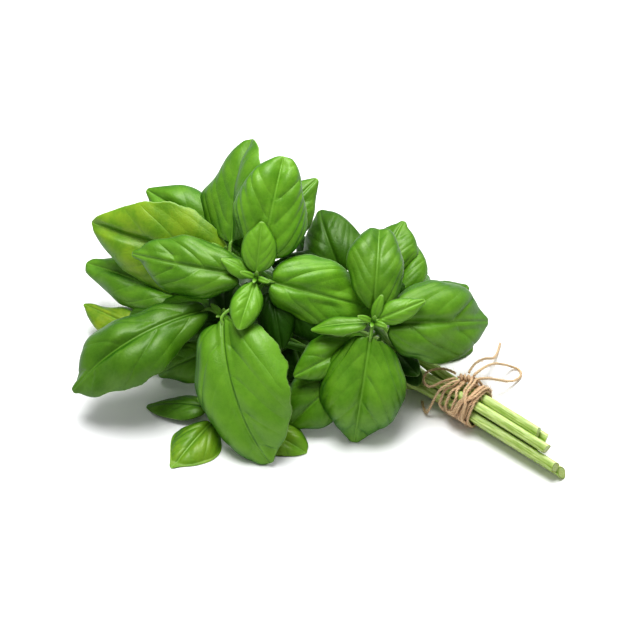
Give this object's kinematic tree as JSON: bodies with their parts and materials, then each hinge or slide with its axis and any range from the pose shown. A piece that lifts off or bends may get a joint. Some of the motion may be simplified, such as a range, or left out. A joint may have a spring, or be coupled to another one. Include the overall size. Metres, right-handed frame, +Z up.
{
  "type": "basil bunch",
  "caption": "Bunch of fresh sweet basil: leafy stems gathered at the neck and tied with jute twine in a small bow, lying on its side on a table.",
  "frame": {"origin": "on the table, under the middle of the bunch's length and width, its free strands of twine left out", "axes": "+X along the bunch's length towards the cut stem ends, +Z up from the table"},
  "size_m": [0.2416, 0.1488, 0.0989],
  "materials": {
    "leaf": "fresh basil leaf and stem, a soft waxy shine",
    "twine": "natural jute, twisted and fuzzy"
  },
  "bodies": {
    "root": {"sprig_centre": "leaf", "sprig_right": "leaf", "sprig_back_left": "leaf", "sprig_left": "leaf", "sprig_front": "leaf", "sprig_back_right": "leaf", "sprig_low_right": "leaf", "twine_tie": "twine", "bow_loop_right": "twine", "bow_loop_left": "twine", "bow_tail_back": "twine", "bow_tail_front": "twine"}
  },
  "joints": []
}
